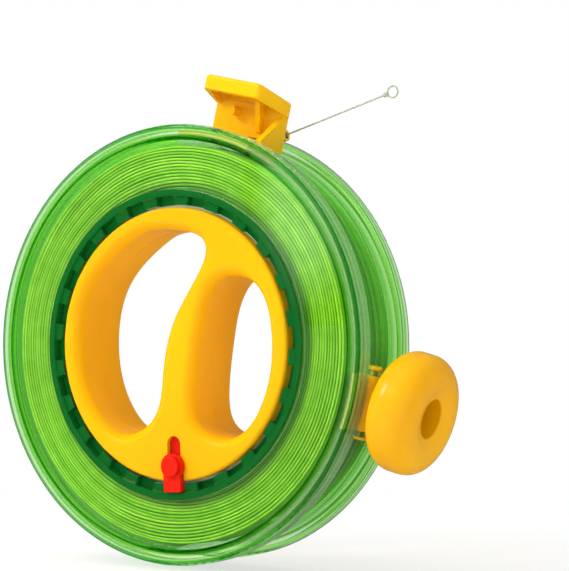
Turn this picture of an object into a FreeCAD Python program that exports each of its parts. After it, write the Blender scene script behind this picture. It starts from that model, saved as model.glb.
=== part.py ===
"""Kite line winder: a grip reel that turns inside a closed casing.

Frame, in millimetres: origin on the reel's axis at mid depth of the casing, +Y along the axis from
front to back, +Z up, +X to the right of someone who looks at the front face.
"""
import FreeCAD, Part

import math
import os

Vec = FreeCAD.Vector

# ---- fits -------------------------------------------------------------------------------------
running_fit = 0.08          # radial, shaft in bush and bearing ring in collar
seat_fit = 0.05             # radial, pressed or snapped rings and bushes
slide_gap = 0.25            # sliding faces of the brake
glue_gap = 0.05             # bonded joints of the casing
free_gap = 0.5              # reel flanges to casing walls

# ---- grip disc --------------------------------------------------------------------------------
grip_radius = 56.0
grip_front = -19.3
grip_thickness = 31.8
hole_rim_width = 7.1        # narrowest width left between a hand hole and the disc's edge
hand_hole_round = 4.6       # rounding of the hand holes on both faces
disc_edge_round = 1.5
parting_bevel = 0.3         # of each half, round the hand holes
grip_screw_radius = 1.25
grip_screw_head_radius = 2.5
grip_screw_head_height = 1.8
grip_screw_length = 20.0
grip_screw_sink = 3.0       # depth of the counterbore below the rear face

# ---- lock ring --------------------------------------------------------------------------------
ring_gap = 1.0              # tooth tips to grip disc
tooth_height = 3.5
notch_wall = 0.6            # outside the notches
tooth_recess = 0.9          # teeth below the rim plane
lock_cover = 0.4            # face flange beyond the spool's barrel
lock_ring_depth = 5.0       # toothed part, along the axis
collar_wall = 1.8
lock_collar_end = -8.0      # where the front bearing collar stops
notch_count = 24

# ---- spool and line ---------------------------------------------------------------------------
barrel_gap = 0.4            # barrel to lock ring
barrel_wall = 1.4
flange_thickness = 1.0
flange_margin = 0.7         # flange beyond the wound line
pack_depth = 19.2           # wound line, from barrel to outside
pack_crown = 0.6            # fall of the wound line towards the flanges
pack_crown_round = 300.0
web_reach = 3.5             # how far the spool's web goes into the grip
web_thickness = 3.0
dog_count = 6
dog_width = 5.0
dog_height = 1.8

# ---- casing -----------------------------------------------------------------------------------
casing_depth = 40.0         # rim face to rim face
shell_face_wall = 1.6       # front and rear walls
flange_clearance = 0.8      # spool flange to outer wall
casing_wall = 1.8
rim_height = 4.6            # rims beyond the outer wall
lip_thickness = 2.0         # return lip that stiffens each rim
lip_depth = 8.2             # length of the return lip along the axis
rim_corner = 1.4
lip_end_round = 0.8
lap_length = 1.6            # tongue of the lap joint at the casing's middle

# ---- bearing rings ----------------------------------------------------------------------------
bearing_groove_depth = 0.8
bearing_width = 5.5
bearing_step = 2.5          # ring's running face above the grip's edge
front_bearing_start = -14.0
rear_bearing_start = 6.0

# ---- brake ------------------------------------------------------------------------------------
brake_clock = 177.4         # degrees clockwise from the top
slot_width = 6.6
slot_room = 3.4             # slot left open beyond the neck's travel
slot_skin = 2.0             # face wall over the brake's channel
channel_width = 9.8
channel_depth = 2.5
channel_room = 0.8          # channel beyond the tongue's travel
tongue_inset = 23.2         # tongue's ends, from the grip's edge towards the axis
tongue_tail_inset = 1.2
tongue_thickness = 2.0
neck_inset = 9.7
button_inset = 6.3          # button's centre, from the grip's edge
button_radius = 4.2
button_height = 3.8         # above the grip's face
button_dish_depth = 0.6
block_radius = 5.3
block_height = 2.1
tail_width = 8.3
tail_gap = 0.4              # tail's end to the notch's floor
tail_drop = 1.5             # tail reaches this far below the grip's face
brake_travel = 5.5
ball_radius = 1.5
ball_inset = 12.0
ball_sink = 0.4             # ball centre behind the channel's floor
spring_wire = 0.25
spring_coils = 3.0
spring_length = 2.6

# ---- line guide -------------------------------------------------------------------------------
guide_clock = 13.5
guide_half_width = 17.2
roof_left = 15.4            # roof's front corner, left of the guide's middle
roof_right = 12.1
roof_overhang = 1.2         # roof beyond the wall, on the left
roof_front = -10.0
roof_top_front = 111.2
roof_top_back = 105.3
roof_edge = 6.2             # height of the roof's front edge
roof_skin = 2.2
roof_side = 2.0
roof_round = 1.2
guide_wall_front = 5.0
guide_wall_thickness = 3.0
gusset_thickness = 2.4
foot_gap = 0.1              # foot to casing wall
foot_thickness = 2.2
foot_front_gap = 0.6        # foot to the inside of the front wall
peg_radius = 1.9
peg_offset = -6.5
rib_offset = 6.4
rib_thickness = 2.2
guide_screw_offset = 9.0
guide_screw_place = -3.0
guide_screw_radius = 1.25
guide_screw_head_radius = 2.4
guide_screw_head_height = 1.5

# ---- kite line --------------------------------------------------------------------------------
line_diameter = 0.7
line_plane = 10.0           # distance of the line's plane behind the middle of the casing
eye_offset = 15.2           # eye centre, along the guide from its middle
eye_radius_from_axis = 91.8
eye_bore = 0.8
eye_ring_radius = 1.4
eye_boss_radius = 2.4
eye_boss_length = 3.2
pack_clearance = 0.3
free_line_angle = 15.8      # degrees above level
free_line_length = 49.0
loop_radius = 2.3
knot_radius = 0.95
knot_length = 2.2
exit_slot_width = 3.0
exit_slot_margin = 3.5      # degrees beyond the line's crossing of the wall, each side

# ---- knob and bracket -------------------------------------------------------------------------
knob_clock = 104.6
knob_radius = 24.0
knob_inner_face = 95.2
knob_height = 20.0
knob_round_outer = 8.6
knob_round_inner = 7.6
knob_dish = 1.8             # outer face sinks this far towards the hole
knob_dish_round = 4.0
knob_dish_land = 2.5        # level ring between the outer round and the dish
knob_hole_radius = 7.75
knob_hole_depth = 11.0
knob_foot_recess = 2.0
knob_foot_radius = 9.0
bush_flange = 1.0
bush_wall = 1.3
axle_radius = 3.1
axle_head_radius = 5.6
axle_head_height = 2.6
axle_thread_radius = 2.0
washer_radius = 6.6
washer_thickness = 0.8
end_play = 0.2
bracket_half_width = 11.0
bracket_half_depth = 9.0
bracket_boss_radius = 8.0
pedestal_draft = 1.2
pin_radius = 1.6
pin_head_radius = 2.9
pin_head_thickness = 1.2
pin_place = -8.0
pin_height = 3.6            # pin's axis above the casing's wall
knuckle_radius = 3.2
ear_thickness = 2.2
ear_half_depth = 3.0

# ---- worked out from the above ----------------------------------------------------------------
half_depth = casing_depth / 2
wall_plane = half_depth - shell_face_wall         # inside face of the casing's walls
flange_plane = wall_plane - free_gap              # outside face of the spool's flanges
grip_back = grip_front + grip_thickness
split_plane = grip_front + grip_thickness / 2     # where the two halves of the grip meet
hole_reach = grip_radius - hole_rim_width         # the hand holes' farthest point from the axis
tooth_tip_radius = grip_radius + ring_gap
notch_floor_radius = tooth_tip_radius + tooth_height
tail_end_radius = notch_floor_radius - tail_gap
tongue_top_radius = grip_radius - tongue_inset
tongue_tail_radius = grip_radius - tongue_tail_inset
neck_top_radius = grip_radius - neck_inset
button_centre_radius = grip_radius - button_inset
ball_centre_radius = grip_radius - ball_inset
slot_top_radius = neck_top_radius - brake_travel - slot_room
channel_top_radius = tongue_top_radius - brake_travel - channel_room
lock_body_radius = notch_floor_radius + notch_wall
barrel_inner = lock_body_radius + barrel_gap
barrel_outer = barrel_inner + barrel_wall
lock_face_radius = barrel_outer + lock_cover
pack_radius = barrel_outer + pack_depth
flange_radius = pack_radius + flange_margin
casing_wall_inner = flange_radius + flange_clearance
casing_wall_outer = casing_wall_inner + casing_wall
lap_radius = (casing_wall_inner + casing_wall_outer) / 2
rim_radius = casing_wall_outer + rim_height
web_inner = grip_radius - web_reach
bearing_inner = grip_radius - bearing_groove_depth + seat_fit
bearing_outer = grip_radius + bearing_step
collar_inner = bearing_outer + running_fit
foot_inner = casing_wall_outer + foot_gap
foot_outer = foot_inner + foot_thickness
pin_radius_from_axis = casing_wall_outer + pin_height
ear_top = pin_radius_from_axis + ear_half_depth
block_base = grip_front - slide_gap
channel_front = grip_front + slot_skin
channel_back = channel_front + channel_depth
tongue_back = channel_front + tongue_thickness + slide_gap
ball_plane = channel_back + ball_sink
guide_wall_back = guide_wall_front + guide_wall_thickness
roof_slope = (roof_top_front - roof_top_back) / (guide_wall_back - roof_front)
knob_floor = knob_inner_face + knob_height - knob_dish - knob_hole_depth
boss_top = knob_inner_face + knob_foot_recess - end_play - washer_thickness
eye_reach = math.hypot(eye_offset, eye_radius_from_axis)
line_start_radius = pack_radius + line_diameter / 2 + pack_clearance


# ---- geometry helpers -------------------------------------------------------------------------
def rounded_wire(corners, place):
    """Closed outline of straight edges, each corner (u, v, radius) rounded by a tangent arc."""
    count = len(corners)
    arcs = []
    for i in range(count):
        u, v, radius = corners[i]
        here = Vec(u, v, 0)
        back = Vec(corners[i - 1][0], corners[i - 1][1], 0) - here
        ahead = Vec(corners[(i + 1) % count][0], corners[(i + 1) % count][1], 0) - here
        back.normalize()
        ahead.normalize()
        if radius <= 0:
            arcs.append((here, None, here))
            continue
        half = back.getAngle(ahead) / 2
        reach = radius / math.tan(half)
        middle = back + ahead
        middle.normalize()
        bulge = here + middle * (radius / math.sin(half) - radius)
        arcs.append((here + back * reach, bulge, here + ahead * reach))
    edges = []
    for i in range(count):
        start, bulge, end = arcs[i]
        if bulge is not None:
            edges.append(Part.Arc(place(start), place(bulge), place(end)).toShape())
        following = arcs[(i + 1) % count][0]
        if end.distanceToPoint(following) > 1e-6:
            edges.append(Part.LineSegment(place(end), place(following)).toShape())
    return Part.Wire(edges)


def turned(corners):
    """Solid of revolution about the reel's axis, from a profile of (radius, y, corner radius)."""
    face = Part.Face(rounded_wire(corners, lambda p: Vec(p.x, p.y, 0)))
    return face.revolve(Vec(0, 0, 0), Vec(0, 1, 0), 360)


def turned_outward(corners):
    """Solid of revolution about the local +Z line, from a profile of (radius, height, rounding)."""
    face = Part.Face(rounded_wire(corners, lambda p: Vec(p.x, 0, p.y)))
    return face.revolve(Vec(0, 0, 0), Vec(0, 0, 1), 360)


def ring(inner, outer, start, end):
    """Plain ring about the reel's axis."""
    return turned([(inner, start, 0), (outer, start, 0), (outer, end, 0), (inner, end, 0)])


def block(x0, x1, y0, y1, z0, z1):
    """Box between two corners."""
    return Part.makeBox(x1 - x0, y1 - y0, z1 - z0, Vec(x0, y0, z0))


def side_profile(corners, x0, x1):
    """Prism along X from a profile of (y, z, corner radius)."""
    face = Part.Face(rounded_wire(corners, lambda p: Vec(x0, p.x, p.y)))
    return face.extrude(Vec(x1 - x0, 0, 0))


def face_profile(corners, y0, y1):
    """Prism along Y from a profile of (x, z, corner radius)."""
    face = Part.Face(rounded_wire(corners, lambda p: Vec(p.x, y0, p.y)))
    return face.extrude(Vec(0, y1 - y0, 0))


def plan_profile(corners, z0, z1):
    """Prism along Z from a profile of (x, y, corner radius)."""
    face = Part.Face(rounded_wire(corners, lambda p: Vec(p.x, p.y, z0)))
    return face.extrude(Vec(0, 0, z1 - z0))


def axial_rod(radius, x, z, y0, y1):
    """Cylinder along Y."""
    return Part.makeCylinder(radius, y1 - y0, Vec(x, y0, z), Vec(0, 1, 0))


def at_clock(shape, degrees):
    """Turn a piece built at the top of the reel to its place, clockwise seen from the front."""
    moved = shape.copy()
    moved.rotate(Vec(0, 0, 0), Vec(0, 1, 0), degrees)
    return moved


def clock_point(degrees, radius, y):
    """Point at a clock angle and a distance from the reel's axis."""
    turn = math.radians(degrees)
    return Vec(radius * math.sin(turn), y, radius * math.cos(turn))


def fused(first, *others):
    """One solid from pieces that touch or cross, with their shared faces cleaned up."""
    return first.fuse(list(others)).removeSplitter()


def rounded_where(shape, radius, chosen):
    """Round the edges for which chosen(edge) is true."""
    return shape.makeFillet(radius, [edge for edge in shape.Edges if chosen(edge)])


# ---- casing -----------------------------------------------------------------------------------
def half_section(inner_radius, outer_end, inner_end, step_radius):
    """Half of the casing's section: face wall, rim with its return lip, outer wall and lap joint."""
    lip_inner = rim_radius - lip_thickness
    return [
        (inner_radius, -half_depth, 0.3),
        (rim_radius, -half_depth, rim_corner),
        (rim_radius, -half_depth + lip_depth, lip_end_round),
        (lip_inner, -half_depth + lip_depth, lip_end_round),
        (lip_inner, -wall_plane, 0.4),
        (casing_wall_outer, -wall_plane, 0.4),
        (casing_wall_outer, outer_end, 0),
        (step_radius, outer_end, 0),
        (step_radius, inner_end, 0),
        (casing_wall_inner, inner_end, 0),
        (casing_wall_inner, -wall_plane, 0.6),
        (inner_radius, -wall_plane, 0),
    ]


def pin_bore(radius):
    """Bore of the bracket's cross pin, long enough for bracket and both ears."""
    reach = 2 * bracket_half_width
    return Part.makeCylinder(radius, 2 * reach, Vec(-reach, pin_place, pin_radius_from_axis), Vec(1, 0, 0))


def bracket_ears():
    """Pair of ears on the casing's wall that hold the cross pin of the knob bracket."""
    start = bracket_half_width + foot_gap
    ears = []
    for side in (-1, 1):
        near = side * start
        far = side * (start + ear_thickness)
        ears.append(side_profile([
            (pin_place - ear_half_depth, casing_wall_inner + 0.2, 0),
            (pin_place + ear_half_depth, casing_wall_inner + 0.2, 0),
            (pin_place + ear_half_depth, ear_top, ear_half_depth * 0.99),
            (pin_place - ear_half_depth, ear_top, ear_half_depth * 0.99),
        ], min(near, far), max(near, far)))
    return [ear.cut(pin_bore(pin_radius + seat_fit)) for ear in ears]


def front_shell():
    """Front half of the casing, with the ears of the knob bracket on its outer wall."""
    section = half_section(lock_face_radius + glue_gap, 0, lap_length, lap_radius - glue_gap)
    holes = [at_clock(hole, guide_clock) for hole in guide_screw_holes(guide_screw_radius - 0.05)]
    ears = [at_clock(ear, knob_clock) for ear in bracket_ears()]
    return fused(turned(section), *ears).cut(holes)


def line_crossing():
    """Clock angles between which the line crosses the casing's wall."""
    eye_clock = guide_clock + math.degrees(math.atan2(eye_offset, eye_radius_from_axis))
    start = eye_clock - math.degrees(math.acos(line_start_radius / eye_reach))
    enter = start + math.degrees(math.acos(line_start_radius / casing_wall_inner))
    leave = start + math.degrees(math.acos(line_start_radius / casing_wall_outer))
    return start, enter, leave


def exit_slot():
    """Slot with round ends through the casing's wall, where the line leaves the reel."""
    _, enter, leave = line_crossing()
    middle = (enter + leave) / 2
    half_length = math.radians((leave - enter) / 2 + exit_slot_margin) * casing_wall_outer
    half_width = exit_slot_width / 2
    outline = [
        (-half_length, line_plane - half_width, half_width * 0.99),
        (half_length, line_plane - half_width, half_width * 0.99),
        (half_length, line_plane + half_width, half_width * 0.99),
        (-half_length, line_plane + half_width, half_width * 0.99),
    ]
    return at_clock(plan_profile(outline, casing_wall_inner - 3, casing_wall_outer + 2), middle)


def rear_shell():
    """Rear half of the casing, with the collar that runs on the rear bearing ring."""
    section = half_section(collar_inner, -glue_gap, -lap_length - glue_gap, lap_radius)
    shell = turned([(radius, -y, rounding) for radius, y, rounding in reversed(section)])
    collar = turned([
        (collar_inner, rear_bearing_start - 1, 0.4),
        (collar_inner + collar_wall, rear_bearing_start - 1, 0.4),
        (collar_inner + collar_wall, half_depth - 0.5, 0),
        (collar_inner, half_depth - 0.5, 0),
    ])
    return fused(shell, collar).cut(exit_slot())


def lock_ring():
    """Toothed ring in the front wall, with the collar that runs on the front bearing ring."""
    collar_outer = collar_inner + collar_wall
    tooth_back = -half_depth + lock_ring_depth
    tooth_front = -half_depth + tooth_recess
    body = turned([
        (tooth_tip_radius, tooth_front, 0.4),
        (lock_body_radius - 1.2, tooth_front, 0.2),
        (lock_body_radius - 0.6, -half_depth, 0.2),
        (lock_face_radius, -half_depth, 0.3),
        (lock_face_radius, -wall_plane, 0),
        (lock_body_radius, -wall_plane, 0),
        (lock_body_radius, tooth_back, 0),
        (collar_outer, tooth_back, 0),
        (collar_outer, lock_collar_end, 0.4),
        (collar_inner, lock_collar_end, 0.4),
        (collar_inner, tooth_back, 0),
        (tooth_tip_radius, tooth_back, 0),
    ])
    half_notch = tail_width / 2 + slide_gap
    notch = face_profile([
        (-half_notch, tooth_tip_radius - 2, 0),
        (half_notch, tooth_tip_radius - 2, 0),
        (half_notch, notch_floor_radius, 0.5),
        (-half_notch, notch_floor_radius, 0.5),
    ], -half_depth - 1, tooth_back - 0.8)
    step = 360.0 / notch_count
    return body.cut([at_clock(notch, brake_clock + i * step) for i in range(notch_count)])


# ---- grip disc --------------------------------------------------------------------------------
def smooth_loop(places, y):
    """Closed smooth curve through places given as clock angle and share of the holes' reach."""
    curve = Part.BSplineCurve()
    points = [clock_point(degrees, share * hole_reach, y) for degrees, share in places]
    curve.interpolate(Points=points, PeriodicFlag=True)
    return Part.Wire([curve.toShape()])


def hand_hole_outlines(y):
    """The two hand holes that leave an S-shaped bar between them."""
    long_hole = [(5, 0.950), (22, 0.848), (21, 0.577), (1, 0.217), (209, 0.234), (199, 0.653),
                 (215, 0.941), (238, 1.000), (270, 0.992), (302.5, 1.005), (331, 0.991)]
    short_hole = [(45.5, 0.804), (60, 0.950), (87.5, 0.968), (116.5, 0.991), (142.5, 0.962),
                  (158.5, 0.725), (151, 0.421), (81, 0.257), (41, 0.554)]
    return smooth_loop(long_hole, y), smooth_loop(short_hole, y)


def drive_dogs(gap):
    """Blocks that lock the spool's web to the grip, oversize by gap where they cut a notch."""
    half_width = dog_width / 2 + gap
    dogs = []
    for i in range(dog_count):
        dog = block(-half_width, half_width, split_plane - web_thickness / 2 - gap,
                    split_plane, web_inner - 1, web_inner + dog_height + gap)
        dogs.append(at_clock(dog, (i + 0.5) * 360 / dog_count))
    return dogs


def grip_half(face_y, split_y, bearing_start):
    """Half of the grip disc: rounded hand holes, edge round, web rebate and bearing groove."""
    low, high = min(face_y, split_y), max(face_y, split_y)
    disc = axial_rod(grip_radius, 0, 0, low, high)
    for outline in hand_hole_outlines(low - 1):
        disc = disc.cut(Part.Face(outline).extrude(Vec(0, high - low + 2, 0)))
    disc = rounded_where(disc, hand_hole_round, lambda edge: on_plane(edge, face_y) and not is_rim(edge))
    disc = rounded_where(disc, disc_edge_round, lambda edge: on_plane(edge, face_y) and is_rim(edge))
    meeting = [edge for edge in disc.Edges if on_plane(edge, split_y) and not is_rim(edge)]
    disc = disc.makeChamfer(parting_bevel, meeting)
    outside = grip_radius + 1
    half_web = web_thickness / 2
    rebate = ring(web_inner - seat_fit, outside, split_plane - half_web, split_plane + half_web)
    groove = ring(grip_radius - bearing_groove_depth, outside, bearing_start, bearing_start + bearing_width)
    return disc.cut([rebate, groove])


def on_plane(edge, y):
    """True when an edge lies in the plane at depth y."""
    return abs(edge.BoundBox.YMin - y) < 0.01 and abs(edge.BoundBox.YMax - y) < 0.01


def is_rim(edge):
    """True for an edge on the disc's outer circle."""
    return isinstance(edge.Curve, Part.Circle) and abs(edge.Curve.Radius - grip_radius) < 0.01


def grip_screw_places():
    """Points (x, z) of the screws, where the disc is wide between hand holes and rim."""
    places = [(37, 0.986), (127, 0.102), (164, 0.958), (191, 0.938)]
    points = [clock_point(degrees, share * hole_reach, 0) for degrees, share in places]
    return [(point.x, point.z) for point in points]


def brake_channel():
    """Room for the brake: slot and mouth through the face, channel behind them, the ball's pocket."""
    beyond = grip_radius + 2
    half_slot = slot_width / 2
    half_channel = channel_width / 2
    slot = face_profile([
        (-half_slot, slot_top_radius, half_slot * 0.99),
        (half_slot, slot_top_radius, half_slot * 0.99),
        (half_slot, beyond, 0),
        (-half_slot, beyond, 0),
    ], grip_front - 1, channel_front + 0.1)
    half_mouth = tail_width / 2 + slide_gap
    mouth_top = grip_radius - brake_travel
    mouth = face_profile([
        (-half_mouth, mouth_top, 0.5),
        (half_mouth, mouth_top, 0.5),
        (half_mouth, beyond, 0),
        (-half_mouth, beyond, 0),
    ], grip_front - 1, channel_front + 0.1)
    channel = face_profile([
        (-half_channel, channel_top_radius, 1.0),
        (half_channel, channel_top_radius, 1.0),
        (half_channel, beyond, 0),
        (-half_channel, beyond, 0),
    ], channel_front, channel_back)
    pocket_back = ball_plane + ball_radius + spring_length
    pocket = axial_rod(ball_radius + 0.1, 0, ball_centre_radius, channel_back - 0.1, pocket_back)
    return [at_clock(cut, brake_clock) for cut in (slot, mouth, channel, pocket)]


def grip_front_half():
    """Front half of the grip, with the brake's slot, the screw pilots and the drive dogs."""
    half = grip_half(grip_front, split_plane, front_bearing_start)
    reach = grip_back - grip_screw_sink - grip_screw_length
    pilots = [axial_rod(grip_screw_radius, x, z, reach - 0.5, split_plane + 1)
              for x, z in grip_screw_places()]
    return fused(half, *drive_dogs(0)).cut(brake_channel() + pilots)


def grip_rear_half():
    """Rear half of the grip, with counterbored screw holes."""
    half = grip_half(grip_back, split_plane, rear_bearing_start)
    outside = grip_back + 1
    holes = []
    for x, z in grip_screw_places():
        holes.append(axial_rod(grip_screw_radius + 0.15, x, z, split_plane - 1, outside))
        holes.append(axial_rod(grip_screw_head_radius + 0.2, x, z, grip_back - grip_screw_sink, outside))
    return half.cut(holes)


def pan_screw(x, z, head_y, length, shank, head, head_height):
    """Pan-head screw along -Y with a cross recess, its head's seat at head_y."""
    profile = [(0, head_y - length, 0), (shank * 0.35, head_y - length, 0), (shank, head_y - length + 2, 0),
               (shank, head_y, 0), (head, head_y, 0.3), (head, head_y + head_height, head_height * 0.6),
               (0, head_y + head_height, 0)]
    screw = turned(profile)
    arm = head * 0.62
    slit = head * 0.13
    top = head_y + head_height
    screw = screw.cut([block(-arm, arm, top - 0.9, top + 1, -slit, slit),
                       block(-slit, slit, top - 0.9, top + 1, -arm, arm)])
    screw.translate(Vec(x, 0, z))
    return screw


def grip_screws():
    """Four tapping screws that close the grip from behind."""
    seat = grip_back - grip_screw_sink
    return Part.makeCompound([
        pan_screw(x, z, seat, grip_screw_length, grip_screw_radius - 0.05, grip_screw_head_radius,
                  grip_screw_head_height)
        for x, z in grip_screw_places()])


# ---- spool, line pack and bearings ------------------------------------------------------------
def spool():
    """Barrel with two thin flanges and the inner web that the grip clamps."""
    inside = flange_plane - flange_thickness
    web_front = split_plane - web_thickness / 2 + 0.02
    web_back = split_plane + web_thickness / 2 - 0.02
    body = turned([
        (barrel_inner, -flange_plane, 0),
        (flange_radius, -flange_plane, 0.4),
        (flange_radius, -inside, 0.4),
        (barrel_outer, -inside, 0.3),
        (barrel_outer, inside, 0.3),
        (flange_radius, inside, 0.4),
        (flange_radius, flange_plane, 0.4),
        (barrel_inner, flange_plane, 0),
        (barrel_inner, web_back, 0.6),
        (web_inner, web_back, 0),
        (web_inner, web_front, 0),
        (barrel_inner, web_front, 0.6),
    ])
    return body.cut(drive_dogs(0.1))


def line_pack():
    """The wound line, as one ring between the flanges with a slightly crowned outside."""
    half_width = flange_plane - flange_thickness - seat_fit
    shoulder = pack_radius - pack_crown
    inner = barrel_outer + seat_fit
    return turned([
        (inner, -half_width, 0.4),
        (shoulder, -half_width, 0.4),
        (pack_radius, 0, pack_crown_round),
        (shoulder, half_width, 0.4),
        (inner, half_width, 0.4),
    ])


def bearing_ring(start):
    """Acetal ring snapped into the grip's groove; the casing's collar turns on it."""
    side = seat_fit
    return turned([
        (bearing_inner, start + side, 0.2),
        (bearing_outer, start + side, 0.5),
        (bearing_outer, start + bearing_width - side, 0.5),
        (bearing_inner, start + bearing_width - side, 0.2),
    ])


# ---- brake ------------------------------------------------------------------------------------
def brake_slider():
    """Brake: tongue in the channel, neck in the slot, button on top and a tail for the notches."""
    half_tongue = channel_width / 2 - slide_gap
    tongue_front = channel_front + slide_gap
    tongue = face_profile([
        (-half_tongue, tongue_top_radius, 1.0),
        (half_tongue, tongue_top_radius, 1.0),
        (half_tongue, tongue_tail_radius, 0),
        (-half_tongue, tongue_tail_radius, 0),
    ], tongue_front, tongue_back)
    half_neck = slot_width / 2 - slide_gap
    neck = face_profile([
        (-half_neck, neck_top_radius, half_neck * 0.99),
        (half_neck, neck_top_radius, half_neck * 0.99),
        (half_neck, tongue_tail_radius, 0),
        (-half_neck, tongue_tail_radius, 0),
    ], block_base, tongue_back)
    block_front = grip_front - block_height
    half_tail = tail_width / 2
    head = axial_rod(block_radius, 0, button_centre_radius, block_front, block_base)
    bar = face_profile([
        (-half_tail, button_centre_radius, 0),
        (half_tail, button_centre_radius, 0),
        (half_tail, tail_end_radius, 0.6),
        (-half_tail, tail_end_radius, 0.6),
    ], block_front, block_base)
    heel = face_profile([
        (-half_tail, grip_radius + slide_gap, 0),
        (half_tail, grip_radius + slide_gap, 0),
        (half_tail, tail_end_radius, 0.6),
        (-half_tail, tail_end_radius, 0.6),
    ], block_base - 0.1, grip_front + tail_drop)
    button_front = grip_front - button_height
    button = axial_rod(button_radius, 0, button_centre_radius, button_front, block_front + 0.1)
    button = rounded_where(button, 0.5, lambda edge: on_plane(edge, button_front))
    dish_radius = (button_radius ** 2 * 0.56 + button_dish_depth ** 2) / (2 * button_dish_depth)
    dish_centre = button_front + button_dish_depth - dish_radius
    dish = Part.makeSphere(dish_radius, Vec(0, dish_centre, button_centre_radius))
    track_start = Vec(0, ball_plane, ball_centre_radius)
    track = Part.makeCylinder(ball_radius + 0.1, brake_travel, track_start, Vec(0, 0, 1))
    ends = [Part.makeSphere(ball_radius + 0.1, track_start + Vec(0, 0, reach)) for reach in (0, brake_travel)]
    slider = fused(tongue, neck, head, bar, heel, button).cut([dish, track] + ends)
    return at_clock(slider, brake_clock)


def detent_ball():
    """Steel ball that drags in the brake's track and keeps it where it is put."""
    return at_clock(Part.makeSphere(ball_radius, Vec(0, ball_plane, ball_centre_radius)), brake_clock)


def detent_spring():
    """Small coil spring in the pocket behind the ball."""
    coil_radius = ball_radius - spring_wire
    start = ball_plane + ball_radius + spring_wire
    height = spring_length - 3 * spring_wire
    path = Part.makeHelix(height / spring_coils, height, coil_radius)
    section = Part.Wire([Part.Circle(Vec(coil_radius, 0, 0), Vec(0, 1, 0), spring_wire).toShape()])
    coil = Part.Wire(path.Edges).makePipeShell([section], True, True)
    coil.rotate(Vec(0, 0, 0), Vec(1, 0, 0), -90)
    coil.translate(Vec(0, start, ball_centre_radius))
    return at_clock(coil, brake_clock)


# ---- line guide -------------------------------------------------------------------------------
def curved_foot(half_width, y0, y1):
    """Foot that lies on the casing's wall and reaches under the return lip of the rim."""
    band = ring(foot_inner, foot_outer, y0, y1)
    limits = block(-half_width, half_width, y0 - 1, y1 + 1, casing_wall_inner / 2, rim_radius)
    return band.common(limits)


def guide_screw_holes(radius):
    """The two screw holes through the guide's foot and the casing's wall."""
    low = casing_wall_inner - 3
    return [Part.makeCylinder(radius, rim_radius - low, Vec(x, guide_screw_place, low))
            for x in (-guide_screw_offset, guide_screw_offset)]


def roof_height(y):
    """Height of the roof's top face, which slopes down to the back."""
    return roof_top_front - roof_slope * (y - roof_front)


def roof_plan(inset, z0, z1):
    """Prism of the roof's outline from above: narrow in front, wide behind, with round corners."""
    front = roof_front + inset
    back = guide_wall_back - inset
    return plan_profile([
        (inset - roof_left, front, 3.0),
        (roof_right - inset, front, 2.0),
        (guide_half_width + roof_overhang - inset, back, 1.4),
        (inset - guide_half_width - roof_overhang, back, 2.6),
    ], z0, z1)


def roof_slab(top_drop, bottom_drop):
    """Slab between two planes that follow the roof's slope."""
    y0, y1 = roof_front - 1, guide_wall_back + 1
    reach = guide_half_width + roof_overhang + 1
    return side_profile([
        (y0, roof_height(y0) - top_drop, 0), (y1, roof_height(y1) - top_drop, 0),
        (y1, roof_height(y1) - bottom_drop, 0), (y0, roof_height(y0) - bottom_drop, 0),
    ], -reach, reach)


def is_roof_edge(edge):
    """True for an edge that lies in the roof's top face."""
    return all(abs(vertex.Z - roof_height(vertex.Y)) < 0.02 for vertex in edge.Vertexes)


def guide_roof():
    """Sloping roof over the line's path, hollow below, its top edges rounded."""
    above = roof_top_front + roof_top_back
    outside = roof_slab(0, roof_edge).common(roof_plan(0, casing_wall_outer, above))
    outside = rounded_where(outside, roof_round, is_roof_edge)
    inside = roof_slab(roof_skin, roof_edge + 4).common(roof_plan(roof_side, casing_wall_outer, above))
    return outside.cut(inside)


def eye_frame(shape):
    """Turn a piece built along +X at the origin onto the line at the eye."""
    start, _, _ = line_crossing()
    lean = math.radians(start)
    moved = shape.copy()
    moved.rotate(Vec(0, 0, 0), Vec(0, 1, 0), math.degrees(lean) - guide_clock)
    moved.translate(Vec(eye_offset, line_plane, eye_radius_from_axis))
    return moved


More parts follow.
